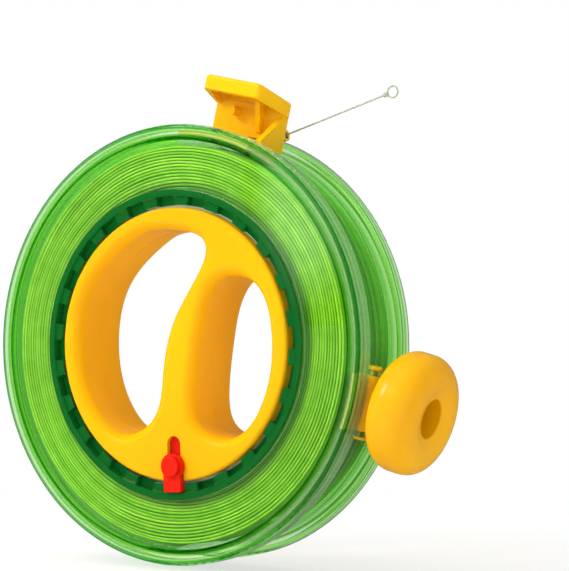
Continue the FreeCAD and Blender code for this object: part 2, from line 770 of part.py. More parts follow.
def line_guide():
    """Moulded guide: foot, back wall, gusset, roof, peg, rib and the boss of the line's eye."""
    foot = curved_foot(guide_half_width, -wall_plane + foot_front_gap, guide_wall_back)
    wall_low = foot_inner + 0.4
    wall = face_profile([
        (-guide_half_width, wall_low, 0),
        (guide_half_width, wall_low - 1.6, 0),
        (guide_half_width, roof_top_back - roof_edge / 2, 0),
        (-guide_half_width, roof_top_back - roof_edge / 2, 0),
    ], guide_wall_front, guide_wall_back)
    roof_line = roof_height(guide_wall_front)
    gusset = side_profile([
        (roof_front + 1, foot_outer - 3, 0),
        (roof_front + 1, foot_outer + 0.6, 0),
        (guide_wall_front + 1, roof_line - roof_edge, 0),
        (guide_wall_front + 1, foot_outer - 3, 0),
    ], guide_half_width - gusset_thickness, guide_half_width)
    peg_height = roof_line - roof_edge - 2.0
    peg = axial_rod(peg_radius, peg_offset, peg_height, guide_wall_front - 4.5, guide_wall_front + 0.5)
    rib = side_profile([
        (guide_wall_front - 6.0, roof_line - roof_edge + 3.5, 0),
        (guide_wall_front + 0.5, roof_line - roof_edge + 3.5, 0),
        (guide_wall_front + 0.5, foot_outer + 3.0, 0),
        (guide_wall_front - 1.5, foot_outer + 3.5, 0.4),
        (guide_wall_front - 3.5, roof_line - roof_edge - 3.0, 0.8),
    ], rib_offset - rib_thickness / 2, rib_offset + rib_thickness / 2)
    boss = eye_frame(Part.makeCylinder(eye_boss_radius, eye_boss_length, Vec(-eye_boss_length / 2, 0, 0),
                                       Vec(1, 0, 0)))
    under_casing = ring(0, foot_inner, -half_depth, half_depth)
    body = fused(foot, wall, gusset, guide_roof(), peg, rib, boss).cut(under_casing)
    eye_hole = eye_frame(Part.makeCylinder(eye_ring_radius, eye_boss_length * 2, Vec(-eye_boss_length, 0, 0),
                                           Vec(1, 0, 0)))
    body = body.cut(guide_screw_holes(guide_screw_radius + 0.1) + [eye_hole])
    return at_clock(body, guide_clock)


def guide_eyelet():
    """Hard ring in the guide's boss, flared at both mouths, that the line runs through."""
    half_length = eye_boss_length / 2
    outer = eye_ring_radius - 0.02
    mouth = (eye_bore + outer) / 2
    liner = turned_outward([
        (mouth, -half_length, 0.12), (outer, -half_length, 0),
        (outer, half_length, 0), (mouth, half_length, 0.12),
        (eye_bore, half_length * 0.45, 0.5), (eye_bore, -half_length * 0.45, 0.5),
    ])
    liner.rotate(Vec(0, 0, 0), Vec(0, 1, 0), 90)
    return at_clock(eye_frame(liner), guide_clock)


def guide_screws():
    """Two short tapping screws that hold the guide's foot to the casing's wall."""
    length = foot_outer - casing_wall_inner - 0.3
    shank = guide_screw_radius - 0.06
    arm = guide_screw_head_radius * 0.6
    slit = arm / 5
    screws = []
    for x in (-guide_screw_offset, guide_screw_offset):
        seat = math.sqrt(foot_outer ** 2 - (abs(x) - guide_screw_head_radius) ** 2)
        top = seat + guide_screw_head_height
        screw = turned_outward([
            (0, seat - length, 0), (shank, seat - length, 0), (shank, seat, 0),
            (guide_screw_head_radius, seat, 0.2), (guide_screw_head_radius, top, 0.8), (0, top, 0),
        ])
        screw = screw.cut([block(-arm, arm, -slit, slit, top - 0.8, top + 1),
                           block(-slit, slit, -arm, arm, top - 0.8, top + 1)])
        screw.translate(Vec(x, guide_screw_place, 0))
        screws.append(screw)
    return at_clock(Part.makeCompound(screws), guide_clock)


# ---- kite line --------------------------------------------------------------------------------
def line_route():
    """The line's corner points: off the pack, at the guide's eye, and at its far end."""
    start, _, _ = line_crossing()
    eye_clock = guide_clock + math.degrees(math.atan2(eye_offset, eye_radius_from_axis))
    eye = clock_point(eye_clock, eye_reach, line_plane)
    rise = math.radians(free_line_angle)
    away = Vec(math.cos(rise), 0, math.sin(rise))
    return clock_point(start, line_start_radius, line_plane), eye, eye + away * free_line_length


def kite_line():
    """Taut line: two straight runs with a small arc where the line bears on the eyelet."""
    first, corner, last = line_route()
    back = first - corner
    ahead = last - corner
    back.normalize()
    ahead.normalize()
    half = back.getAngle(ahead) / 2
    bend_radius = 5 * line_diameter
    reach = bend_radius / math.tan(half)
    middle = back + ahead
    middle.normalize()
    bulge = corner + middle * (bend_radius / math.sin(half) - bend_radius)
    near, far = corner + back * reach, corner + ahead * reach
    path = Part.Wire([
        Part.LineSegment(first, near).toShape(),
        Part.Arc(near, bulge, far).toShape(),
        Part.LineSegment(far, last).toShape(),
    ])
    section = Part.Wire([Part.Circle(first, back, line_diameter / 2).toShape()])
    tube = path.makePipeShell([section], True, True)
    wanted = math.pi * line_diameter ** 2 / 4 * path.Length
    print("line: bend radius %.2f mm, length %.2f mm, volume %.3f of %.3f mm3"
          % (bend_radius, path.Length, tube.Volume, wanted))
    return tube


def line_loop():
    """Loop tied in the line's end, with its knot."""
    _, corner, last = line_route()
    profile = [(0, 0, 0), (knot_radius, 0, 0.4), (knot_radius, knot_length, 0.4), (0, knot_length, 0)]
    knot = turned_outward(profile)
    middle = Vec(0, 0, knot_length + loop_radius - line_diameter / 4)
    loop = Part.makeTorus(loop_radius, line_diameter / 2, middle, Vec(0, 1, 0))
    tied = fused(knot, loop)
    tied.rotate(Vec(0, 0, 0), Vec(0, 1, 0), 90 - free_line_angle)
    tied.translate(last)
    return tied


# ---- knob and bracket -------------------------------------------------------------------------
def knob():
    """Round knob with a dished outer face, a deep hole for the axle's head and a foot recess."""
    outer = knob_inner_face + knob_height
    hole_rim = outer - knob_dish
    recess = knob_inner_face + knob_foot_recess
    bush_outer = axle_radius + running_fit + bush_wall
    return at_clock(turned_outward([
        (bush_outer + seat_fit, recess, 0),
        (knob_foot_radius, recess, 0.6),
        (knob_foot_radius, knob_inner_face, 0.6),
        (knob_radius, knob_inner_face, knob_round_inner),
        (knob_radius, outer, knob_round_outer),
        (knob_radius - knob_round_outer - knob_dish_land, outer, knob_dish_round),
        (knob_hole_radius, hole_rim, 0.8),
        (knob_hole_radius, knob_floor, 1.0),
        (bush_outer + seat_fit, knob_floor, 0),
    ]), knob_clock)


def knob_bush():
    """Flanged acetal bush in the knob's floor."""
    bore = axle_radius + running_fit
    outer = bore + bush_wall
    recess = knob_inner_face + knob_foot_recess
    return at_clock(turned_outward([
        (bore, recess + 0.05, 0.2),
        (outer, recess + 0.05, 0),
        (outer, knob_floor + 0.02, 0),
        (outer + 1.2, knob_floor + 0.02, 0),
        (outer + 1.2, knob_floor + bush_flange, 0.2),
        (bore, knob_floor + bush_flange, 0.2),
    ]), knob_clock)


def knob_washer():
    """Steel washer between bracket and knob."""
    top = knob_inner_face + knob_foot_recess - end_play
    return at_clock(turned_outward([
        (axle_radius + 0.15, top - washer_thickness, 0), (washer_radius, top - washer_thickness, 0.15),
        (washer_radius, top, 0.15), (axle_radius + 0.15, top, 0),
    ]), knob_clock)


def knob_axle():
    """Shoulder screw that carries the knob, with a slotted head inside the knob's hole."""
    seat = knob_floor + bush_flange + end_play
    top = seat + axle_head_height
    screw = turned_outward([
        (0, casing_wall_outer + 1, 0), (axle_thread_radius - 0.3, casing_wall_outer + 1, 0),
        (axle_thread_radius, casing_wall_outer + 1.8, 0), (axle_thread_radius, boss_top + 0.02, 0),
        (axle_radius, boss_top + 0.02, 0), (axle_radius, seat, 0), (axle_head_radius, seat, 0.3),
        (axle_head_radius, top, 0.9), (0, top, 0),
    ])
    slot = block(-axle_head_radius, axle_head_radius, -0.6, 0.6, top - 1.2, top + 1)
    return at_clock(screw.cut(slot), knob_clock)


def knob_bracket():
    """Bracket: curved foot under both return lips, tapered pedestal and a round boss on top."""
    reach = wall_plane - foot_front_gap
    foot = curved_foot(bracket_half_width, -reach, reach)
    low = foot_outer - 1.0
    high = knob_inner_face - 0.8
    bottom = rectangle(bracket_half_width, bracket_half_depth, low)
    top = rectangle(bracket_half_width, bracket_half_depth - pedestal_draft, high)
    pedestal = Part.makeLoft([bottom, top], True)
    boss = Part.makeCylinder(bracket_boss_radius, boss_top - low, Vec(0, 0, low))
    knuckle = Part.makeCylinder(knuckle_radius, 2 * bracket_half_width,
                                Vec(-bracket_half_width, pin_place, pin_radius_from_axis), Vec(1, 0, 0))
    bore = Part.makeCylinder(axle_thread_radius + 0.03, boss_top - lap_radius, Vec(0, 0, lap_radius))
    under_casing = ring(0, foot_inner, -half_depth, half_depth)
    body = fused(foot, pedestal, boss, knuckle).cut([bore, pin_bore(pin_radius + seat_fit), under_casing])
    return at_clock(body, knob_clock)


def rectangle(half_x, half_y, z):
    """Flat outline for the pedestal's loft."""
    return rounded_wire([(-half_x, -half_y, 1.0), (half_x, -half_y, 1.0), (half_x, half_y, 1.0),
                         (-half_x, half_y, 1.0)], lambda p: Vec(p.x, p.y, z))


def bracket_pin():
    """Moulded cross pin through the bracket's knuckle and both ears, with a round head at each end."""
    shaft = bracket_half_width + foot_gap + ear_thickness + seat_fit
    end = shaft + pin_head_thickness
    pin = turned_outward([
        (0, -end, 0), (pin_head_radius, -end, 0.5), (pin_head_radius, -shaft, 0), (pin_radius, -shaft, 0),
        (pin_radius, shaft, 0), (pin_head_radius, shaft, 0), (pin_head_radius, end, 0.5), (0, end, 0),
    ])
    pin.rotate(Vec(0, 0, 0), Vec(0, 1, 0), 90)
    pin.translate(Vec(0, pin_place, pin_radius_from_axis))
    return at_clock(pin, knob_clock)


# ---- output -----------------------------------------------------------------------------------
def all_parts():
    """Every node's name and solid."""
    return {
        "front_shell": front_shell(),
        "rear_shell": rear_shell(),
        "lock_ring": lock_ring(),
        "line_guide": line_guide(),
        "guide_eyelet": guide_eyelet(),
        "guide_screws": guide_screws(),
        "knob_bracket": knob_bracket(),
        "bracket_pin": bracket_pin(),
        "knob_axle": knob_axle(),
        "knob_washer": knob_washer(),
        "knob": knob(),
        "knob_bush": knob_bush(),
        "grip_front": grip_front_half(),
        "grip_rear": grip_rear_half(),
        "grip_screws": grip_screws(),
        "spool": spool(),
        "line_pack": line_pack(),
        "front_bearing": bearing_ring(front_bearing_start),
        "rear_bearing": bearing_ring(rear_bearing_start),
        "brake_slider": brake_slider(),
        "detent_ball": detent_ball(),
        "detent_spring": detent_spring(),
        "kite_line": kite_line(),
        "line_loop": line_loop(),
    }


def write_parts():
    """Write one STEP file per node and print what each holds."""
    os.makedirs("parts", exist_ok=True)
    for name, shape in all_parts().items():
        shape.exportStep("parts/%s.step" % name)
        print("%-14s solids %d valid %s volume %.1f mm3"
              % (name, len(shape.Solids), shape.isValid(), shape.Volume))


write_parts()
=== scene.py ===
import math

import bpy
import numpy as np
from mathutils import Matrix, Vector


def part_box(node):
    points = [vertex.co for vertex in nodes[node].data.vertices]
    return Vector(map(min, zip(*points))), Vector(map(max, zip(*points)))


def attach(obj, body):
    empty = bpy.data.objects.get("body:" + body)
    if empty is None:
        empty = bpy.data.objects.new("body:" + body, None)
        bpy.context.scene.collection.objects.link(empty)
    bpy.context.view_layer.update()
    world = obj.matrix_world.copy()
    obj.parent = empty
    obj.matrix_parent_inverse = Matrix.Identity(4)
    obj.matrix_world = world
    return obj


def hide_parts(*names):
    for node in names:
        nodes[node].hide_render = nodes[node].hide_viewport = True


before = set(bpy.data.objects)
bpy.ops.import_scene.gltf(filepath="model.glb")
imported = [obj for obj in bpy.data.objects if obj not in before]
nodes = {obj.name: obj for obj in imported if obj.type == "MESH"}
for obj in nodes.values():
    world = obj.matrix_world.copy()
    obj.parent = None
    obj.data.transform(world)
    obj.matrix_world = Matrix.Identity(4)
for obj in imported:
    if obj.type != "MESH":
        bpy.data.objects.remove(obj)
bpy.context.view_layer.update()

# ---- tools for materials -----------------------------------------------------------------------
# Short names for the shader nodes that most materials need. Radii are measured from the reel's
# axis, which is +Y through the origin.


def linear(hex_code):
    """Linear colour from an sRGB hex code such as "#FFC20E"."""
    channels = [int(hex_code[i:i + 2], 16) / 255 for i in (1, 3, 5)]
    return tuple(c / 12.92 if c <= 0.04045 else ((c + 0.055) / 1.055) ** 2.4 for c in channels) + (1.0,)


def add(tree, kind, settings=None, values=None, links=None):
    """Add one node: attributes from settings, socket values from values, input links from links."""
    node = tree.nodes.new(kind)
    for attribute, value in (settings or {}).items():
        setattr(node, attribute, value)
    for socket, value in (values or {}).items():
        node.inputs[socket].default_value = value
    for socket, source in (links or {}).items():
        tree.links.new(source, node.inputs[socket])
    return node


def empty_material(name):
    """Material with an empty node tree."""
    material = bpy.data.materials.new(name)
    material.use_nodes = True
    material.node_tree.nodes.clear()
    return material


def object_place(tree):
    """Place of the shaded point in the piece's own frame, in metres."""
    return add(tree, "ShaderNodeTexCoord").outputs["Object"]


def noise(tree, place, scale, detail, roughness=0.5):
    """Soft noise from 0 to 1."""
    texture = add(tree, "ShaderNodeTexNoise",
                  values={"Scale": scale, "Detail": detail, "Roughness": roughness}, links={"Vector": place})
    return texture.outputs["Fac"]


def ramp(tree, factor, *stops):
    """Colour ramp over factor; stops are (position, linear colour), first and last outermost."""
    node = add(tree, "ShaderNodeValToRGB", links={"Fac": factor})
    elements = node.color_ramp.elements
    for element, (position, colour) in ((elements[0], stops[0]), (elements[1], stops[-1])):
        element.position = position
        element.color = colour
    for position, colour in stops[1:-1]:
        elements.new(position).color = colour
    return node.outputs["Color"]


def remap(tree, value, start=0.0, end=1.0, low=0.0, high=1.0, smooth=False):
    """Value taken from start..end to low..high and held there beyond the ends."""
    interpolation = "SMOOTHSTEP" if smooth else "LINEAR"
    node = add(tree, "ShaderNodeMapRange", settings={"interpolation_type": interpolation},
               values={"From Min": start, "From Max": end, "To Min": low, "To Max": high},
               links={"Value": value})
    return node.outputs["Result"]


def bumped(tree, height, strength, distance):
    """Normal tilted by the slope of height."""
    node = add(tree, "ShaderNodeBump", values={"Strength": strength, "Distance": distance},
               links={"Height": height})
    return node.outputs["Normal"]


def from_reel_axis(tree, place):
    """Distance of place from the reel's axis."""
    flat_place = add(tree, "ShaderNodeVectorMath", settings={"operation": "MULTIPLY"},
                     values={1: (1, 0, 1)}, links={0: place})
    distance = add(tree, "ShaderNodeVectorMath", settings={"operation": "LENGTH"},
                   links={0: flat_place.outputs["Vector"]})
    return distance.outputs["Value"]


def multiply_colour(tree, share, first, second):
    """First colour times the second, as far as share says: a number or a socket."""
    node = add(tree, "ShaderNodeMix", settings={"data_type": "RGBA", "blend_type": "MULTIPLY"},
               links={6: first, 7: second})
    if isinstance(share, float):
        node.inputs[0].default_value = share
    else:
        tree.links.new(share, node.inputs[0])
    return node.outputs[2]


def end_with(tree, surface, volume=None):
    """Output node for the surface and, where there is one, the volume."""
    links = {"Surface": surface.outputs[0]}
    if volume is not None:
        links["Volume"] = volume.outputs[0]
    add(tree, "ShaderNodeOutputMaterial", links=links)


def dress(material, slot_name, *names):
    """Give CAD nodes their material; slot_name is not used."""
    for name in names:
        piece = nodes[name]
        piece.data.materials.clear()
        piece.data.materials.append(material)


# ---- casing shells and spool -------------------------------------------------------------------
# Two injection-moulded halves of transparent green polycarbonate, welded at mid depth, and the
# spool of the same plastic inside. Polished tools leave them glossy; thin walls are pale and the
# long way through an edge is deep green. The walls are thin panes, so they bend light little and
# their gloss is a coat.


def dye_and_painted_light(tree, place, radius, rim_share, tint, rim_tint, streak_tint):
    """Colour of the plastic: the tint, and in the rim's share streaks that follow the section. The rim's lime
    and its streaks are painted light: bands of light and shade that stand in for refraction, reflection and
    the line seen through the rim. The outer wall between the rims is darkened with painted shade, and dark
    lines on both faces of the rim are painted shade at its step and its edge."""
    white = linear("#FFFFFF")
    depth = add(tree, "ShaderNodeSeparateXYZ", links={"Vector": place}).outputs["Y"]
    section = add(tree, "ShaderNodeCombineXYZ", links={"X": radius, "Y": depth})
    # Painted light: pale, lime and dark green streaks in the rim stand in for the bands that refraction and
    # reflection make in the clear rim, and for the lime line seen through it.
    streak = noise(tree, section.outputs["Vector"], scale=650.0, detail=1.5, roughness=0.55)
    painted_rim_bands = ramp(tree, streak, (0.36, linear(streak_tint)), (0.43, linear(rim_tint)), (0.56, linear(tint)))
    tint_and_painted_bands = add(tree, "ShaderNodeMix", settings={"data_type": "RGBA"}, values={6: linear(tint)},
              links={0: rim_share, 7: painted_rim_bands})

    rim_foot, rim_edge = 0.083, 0.0905
    across_rim = remap(tree, radius, rim_foot, rim_edge)
    # Painted shade: the outer wall between the rims, a band of radii, is darkened for the shade in the
    # groove.
    groove_shade_colour = linear("#A0DC70")
    painted_groove_shade = ramp(tree, across_rim, (0.0, white), (0.05, white), (0.09, groove_shade_colour), (0.34, groove_shade_colour),
                      (0.42, white), (1.0, white))
    walled = multiply_colour(tree, 1.0, tint_and_painted_bands.outputs[2], painted_groove_shade)

    # Painted shade: dark lines on both faces of the rim, at its step and its outer edge, where refraction
    # darkens the clear plastic.
    step_shade_line, edge_shade_line = linear("#2C8A58"), linear("#138052")
    painted_edge_shade = ramp(tree, across_rim, (0.0, white), (0.08, white), (0.13, step_shade_line), (0.19, step_shade_line),
                      (0.24, white), (0.74, white), (0.81, edge_shade_line), (1.0, edge_shade_line))
    from_middle = add(tree, "ShaderNodeMath", settings={"operation": "ABSOLUTE"}, links={0: depth})
    face_inside, face_plane = 0.0192, 0.0197
    on_face = remap(tree, from_middle.outputs[0], face_inside, face_plane)
    return multiply_colour(tree, on_face, walled, painted_edge_shade)


def clear_polycarbonate(name, tint, rim_tint, streak_tint, rim_from, rim_to, depth_colour, density, clarity,
                        rim_clarity, ripple_mm, lamp_share):
    """Moulded polycarbonate: smooth glassy gloss, faint flow ripples, colour that deepens with length and
    changes to the rim's between two radii, where bands of light and shade are painted in. Clarity below 1
    leaves a cloudy share, and a lamp share near 0 lets lamps through with hardly any loss."""
    material = empty_material(name)
    tree = material.node_tree
    place = object_place(tree)
    radius = from_reel_axis(tree, place)
    rim_share = remap(tree, radius, rim_from, rim_to, smooth=True)
    colour = dye_and_painted_light(tree, place, radius, rim_share, tint, rim_tint, streak_tint)
    flow = noise(tree, place, scale=1000 / ripple_mm, detail=2.0, roughness=0.4)
    rippled = bumped(tree, flow, strength=0.10, distance=0.0002)
    clear_share = remap(tree, rim_share, low=clarity, high=rim_clarity)
    plastic = add(tree, "ShaderNodeBsdfPrincipled",
                  values={"Roughness": 0.02, "IOR": 1.02, "Coat Weight": 1.0, "Coat Roughness": 0.02},
                  links={"Transmission Weight": clear_share, "Base Color": colour, "Normal": rippled,
                         "Coat Normal": rippled})
    lamps_through = add(tree, "ShaderNodeBsdfTransparent",
                        values={"Color": [channel ** lamp_share for channel in linear(tint)]})
    ray = add(tree, "ShaderNodeLightPath")
    surface = add(tree, "ShaderNodeMixShader", links={0: ray.outputs["Is Shadow Ray"], 1: plastic.outputs[0],
                                                      2: lamps_through.outputs[0]})
    depth = add(tree, "ShaderNodeVolumeAbsorption",
                values={"Color": linear(depth_colour), "Density": density})
    end_with(tree, surface, depth)
    return material


# The rim and streak tints here are painted light: the bands of light and shade in the casing's rim.
casing_green = clear_polycarbonate("clear green polycarbonate", tint="#F8FFF4", rim_tint="#B0F058",
                                   streak_tint="#44A850", rim_from=0.0832, rim_to=0.0850,
                                   depth_colour="#A0F488", density=110.0, clarity=1.0, rim_clarity=0.89,
                                   ripple_mm=14.0, lamp_share=0.5)
dress(casing_green, "clear_green", "front_shell", "rear_shell")
# The spool's cloudy part is its barrel, inside the smaller of the two radii.
spool_green = clear_polycarbonate("clear green polycarbonate, spool", tint="#F8FFF4", rim_tint="#8CD044",
                                  streak_tint="#5CA834", rim_from=0.0636, rim_to=0.0630,
                                  depth_colour="#A0F488", density=60.0, clarity=1.0, rim_clarity=0.5,
                                  ripple_mm=10.0, lamp_share=0.5)
dress(spool_green, "clear_green", "spool")

# ---- lock ring ---------------------------------------------------------------------------------
# Toothed ring snapped and bonded into the front wall. It is the same resin with far more dye:
# nearly black where it is thick, with its notches and edges shining green.
lock_green = clear_polycarbonate("deep green polycarbonate", tint="#126E2C", rim_tint="#34701A",
                                 streak_tint="#1C4A10", rim_from=0.0606, rim_to=0.0650,
                                 depth_colour="#4C9A2C", density=150.0, clarity=0.35, rim_clarity=0.35,
                                 ripple_mm=9.0, lamp_share=0.03)
dress(lock_green, "dark_green", "lock_ring")

# ---- wound line --------------------------------------------------------------------------------
# Some two hundred metres of braided polyester line in turns 1.25 mm apart, layer on layer between the
# flanges. Each turn is a half-round ridge that wanders a little, as a hand winds it; the gaps between turns
# differ in depth, and the deeper ones are darkened with painted shade.
turn_pitch = 0.00125
turn_height = 0.00042
gap_sink = 0.00022          # how far a full gap falls below the foot of the ridges
gap_width = 0.28            # of the pitch, on each side
pack_low, pack_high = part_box("line_pack")
pack_outer = (pack_high.x - pack_low.x) / 2
pack_half = (pack_high.y - pack_low.y) / 2
pack_inner = 0.06295
around_steps = 240
phases = np.array([0.0, 0.10, 0.24, 0.42, 0.58, 0.76, 0.90])
winding = np.random.default_rng(11)


def ridged_run(start, end):
    """Points from start to end in ridges one pitch wide: place along the run, height of the
    half-round ridge, how deep in a gap the point lies, and the turn's number. Every gap has its
    own depth."""
    count = max(1, round(abs(end - start) / turn_pitch))
    gap_depth = winding.choice([0.75, 0.9, 1.0], size=count + 1, p=[0.3, 0.35, 0.35])
    turn = np.repeat(np.arange(count), len(phases))
    phase = np.tile(phases, count)
    along = start + (end - start) * (turn + phase) / count
    nearest = gap_depth[turn + (phase > 0.5)]
    away = np.minimum(phase, 1 - phase)
    gap = np.clip(1.1 - away / gap_width, 0, 1) * nearest
    height = turn_height * np.sqrt(1 - (2 * phase - 1) ** 2) - gap_sink * gap
    return along, height, gap, turn


def wound_profile():
    """Section of the wound line: front end face, outside, rear end face, then the barrel side.
    The end faces fall back a little towards the barrel; outside, the gaps are half filled.
    Rows: radius, depth, gap, turn, and 1 on the end faces."""
    shoulder = pack_outer - 0.0006
    crown_height = 0.0005
    fall_depth, fall_reach = 0.0012, 0.009
    front, front_ridge, front_gap, front_turn = ridged_run(pack_inner + 0.0003, shoulder)
    side, side_ridge, side_gap, side_turn = ridged_run(-pack_half + 0.0004, pack_half - 0.0004)
    crown = crown_height * (1 - (side / pack_half) ** 2)
    fall = fall_depth * np.clip((pack_inner + fall_reach - front) / fall_reach, 0, 1) ** 2
    face_depth = -pack_half + turn_height - front_ridge + fall
    flat, level = np.zeros(2), pack_half - turn_height - fall_depth
    radius = [front, shoulder + crown + side_ridge - turn_height * 0.8, front[::-1], [pack_inner, pack_inner]]
    depth = [face_depth, side, -face_depth[::-1], [level, -level]]
    gap = [front_gap, 0.4 * side_gap, front_gap[::-1], flat]
    turn = [front_turn, side_turn + 100, front_turn[::-1] + 200, flat]
    on_face = [np.ones(len(front)), np.zeros(len(side)), np.ones(len(front)), flat]
    return [np.concatenate(row) for row in (radius, depth, gap, turn, on_face)]


def revolved_mesh(name, radius, depth, steps):
    """Closed surface of quads: the points (radius, depth), one row for each turn of angle, go
    round +Y and join up with the first row."""
    count = radius.shape[1]
    angle = np.linspace(0, 2 * math.pi, steps, endpoint=False)[:, None]
    points = np.stack([radius * np.sin(angle), depth, radius * np.cos(angle)], axis=-1).reshape(-1, 3)
    i, j = np.meshgrid(np.arange(steps), np.arange(count), indexing="ij")
    following = (i + 1) % steps
    quads = np.stack([i * count + j, i * count + (j + 1) % count, following * count + (j + 1) % count,
                      following * count + j], axis=-1).reshape(-1, 4)
    mesh = bpy.data.meshes.new(name)
    mesh.from_pydata(points.tolist(), [], quads.tolist())
    mesh.polygons.foreach_set("use_smooth", np.ones(len(quads), bool))
    mesh.update()
    piece = bpy.data.objects.new(name, mesh)
    bpy.context.scene.collection.objects.link(piece)
    return piece


def store(mesh, name, values):
    """Point attribute of one number per vertex."""
    mesh.attributes.new(name, "FLOAT", "POINT").data.foreach_set("value", values.astype(np.float32).ravel())


def wander(angle, turn):
    """Slow waves round the pack, much alike in neighbouring turns, so that gaps open and close:
    0.45 mm sin(2 angle), 0.20 mm sin(5 angle) and 0.04 mm sin(11 angle), each shifted by turn."""
    return (0.00045 * np.sin(2 * angle + 0.08 * turn) + 0.00020 * np.sin(5 * angle + 0.30 * turn)
            + 0.00004 * np.sin(11 * angle + 1.9 * turn))


radius, depth, gap, turn, on_face = wound_profile()
around = np.linspace(0, 2 * math.pi, around_steps, endpoint=False)[:, None]
fade_reach = 0.003
edge_fade = np.clip(np.minimum(radius - pack_inner, pack_outer - radius) / fade_reach, 0, 1)
side_fade = np.clip((pack_half - np.abs(depth)) / fade_reach, 0, 1)
wave = wander(around, turn[None, :])
radius_rows = radius + wave * on_face * edge_fade
depth_rows = depth + wave * (1 - on_face) * side_fade
wound_line = revolved_mesh("wound_line", radius_rows, depth_rows, around_steps)
# Painted shade in the gaps, a little stronger and weaker round the pack.
fading = 0.88 + 0.12 * np.sin(3 * around + 2.1 * turn[None, :])
store(wound_line.data, "gap", gap * fading)
turn_tone = winding.uniform(0, 1, 400)[turn.astype(int)]
store(wound_line.data, "tone", turn_tone + 0.25 * np.sin(2 * around + turn[None, :]))
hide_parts("line_pack")
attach(wound_line, "reel")

lime_line = empty_material("lime braided polyester line")
tree = lime_line.node_tree
place = object_place(tree)
strands_around = 420.0
split = add(tree, "ShaderNodeSeparateXYZ", links={"Vector": place})
angle = add(tree, "ShaderNodeMath", settings={"operation": "ARCTAN2"},
            links={0: split.outputs["X"], 1: split.outputs["Z"]})
plait = add(tree, "ShaderNodeMath", settings={"operation": "MULTIPLY"}, values={1: strands_around},
            links={0: angle.outputs[0]})
strand = add(tree, "ShaderNodeMath", settings={"operation": "SINE"}, links={0: plait.outputs[0]})
streak = noise(tree, place, scale=160.0, detail=3.0)
tone = add(tree, "ShaderNodeAttribute", settings={"attribute_name": "tone"})
gap_depth = add(tree, "ShaderNodeAttribute", settings={"attribute_name": "gap"})
mottle = add(tree, "ShaderNodeMath", settings={"operation": "MULTIPLY_ADD"}, values={1: 0.4},
             links={0: tone.outputs["Fac"], 2: streak})
shade = ramp(tree, mottle.outputs[0], (0.4, linear("#A8DA18")), (1.0, linear("#DAF654")))
# Painted shade: the innermost turns, near the barrel, are darkened as the lock ring's shade.
inner_shade_share = remap(tree, from_reel_axis(tree, place), pack_inner, pack_inner + 0.006, 0.8, 0.0, smooth=True)
painted_inner_shade = add(tree, "ShaderNodeMix", settings={"data_type": "RGBA"}, values={7: linear("#3E7C12")},
                  links={0: inner_shade_share, 6: shade})
# Painted shade: the gaps between turns are darkened by their depth.
painted_gap_shade = add(tree, "ShaderNodeMix", settings={"data_type": "RGBA"}, values={7: linear("#143A04")},
             links={0: gap_depth.outputs["Fac"], 6: painted_inner_shade.outputs[2]})
height = add(tree, "ShaderNodeMath", settings={"operation": "MULTIPLY_ADD"}, values={1: 0.25},
             links={0: strand.outputs[0], 2: streak})
yarn = add(tree, "ShaderNodeBsdfPrincipled",
           values={"Roughness": 0.5, "Sheen Weight": 0.1, "Specular IOR Level": 0.35},
           links={"Base Color": painted_gap_shade.outputs[2], "Normal": bumped(tree, height.outputs[0], 0.35, 0.0002)})
end_with(tree, yarn)
wound_line.data.materials.append(lime_line)

# ---- yellow mouldings --------------------------------------------------------------------------
# Grip disc, knob, bracket and guide are ABS, injection moulded in yellow with a fine satin grain.
# The knob is a little deeper in colour. Light goes a short way into the plastic.


def satin_plastic(name, light, deep, roughness, shine, grain_mm):
    """Plastic of even colour with slow drifts of shade and a fine grain that breaks the gloss."""
    material = empty_material(name)
    tree = material.node_tree
    place = object_place(tree)
    drift = noise(tree, place, scale=18.0, detail=2.0)
    colour = ramp(tree, drift, (0.3, linear(deep)), (0.7, linear(light)))
    gloss = remap(tree, drift, low=roughness - 0.05, high=roughness + 0.06)
    grain = noise(tree, place, scale=1000 / grain_mm, detail=3.0)
    plastic = add(tree, "ShaderNodeBsdfPrincipled",
                  values={"IOR": 1.5, "Specular IOR Level": shine, "Subsurface Weight": 0.06,
                          "Subsurface Radius": (1.0, 0.5, 0.1), "Subsurface Scale": 0.0015},
                  links={"Base Color": colour, "Roughness": gloss,
                         "Normal": bumped(tree, grain, 0.12, 0.00004)})
    end_with(tree, plastic)
    return material


grip_yellow = satin_plastic("yellow ABS, grip", "#EEB203", "#E8A802", roughness=0.30, shine=0.14,
                            grain_mm=0.35)
dress(grip_yellow, "yellow", "grip_front", "grip_rear")
knob_yellow = satin_plastic("yellow ABS, knob", "#F2B402", "#ECA801", roughness=0.24, shine=0.5,
                            grain_mm=0.35)
dress(knob_yellow, "yellow", "knob", "knob_bracket", "bracket_pin")
guide_yellow = satin_plastic("yellow ABS, guide", "#F8C408", "#F2B402", roughness=0.27, shine=0.25,
                             grain_mm=0.35)
dress(guide_yellow, "yellow", "line_guide")

# ---- brake -------------------------------------------------------------------------------------
# One-piece slider in red ABS, moulded glossy so that the thumb's button stands out.
brake_red = satin_plastic("red ABS, brake", "#E6200A", "#DA1806", roughness=0.26, shine=0.2, grain_mm=0.35)
dress(brake_red, "red", "brake_slider")

# ---- bearing rings and bush --------------------------------------------------------------------
# Turned natural acetal, white and slightly waxy, with the finest grain.
acetal = satin_plastic("natural acetal", "#F2F1EA", "#E9E8E0", roughness=0.42, shine=0.5, grain_mm=0.2)
dress(acetal, "acetal", "front_bearing", "rear_bearing", "knob_bush")

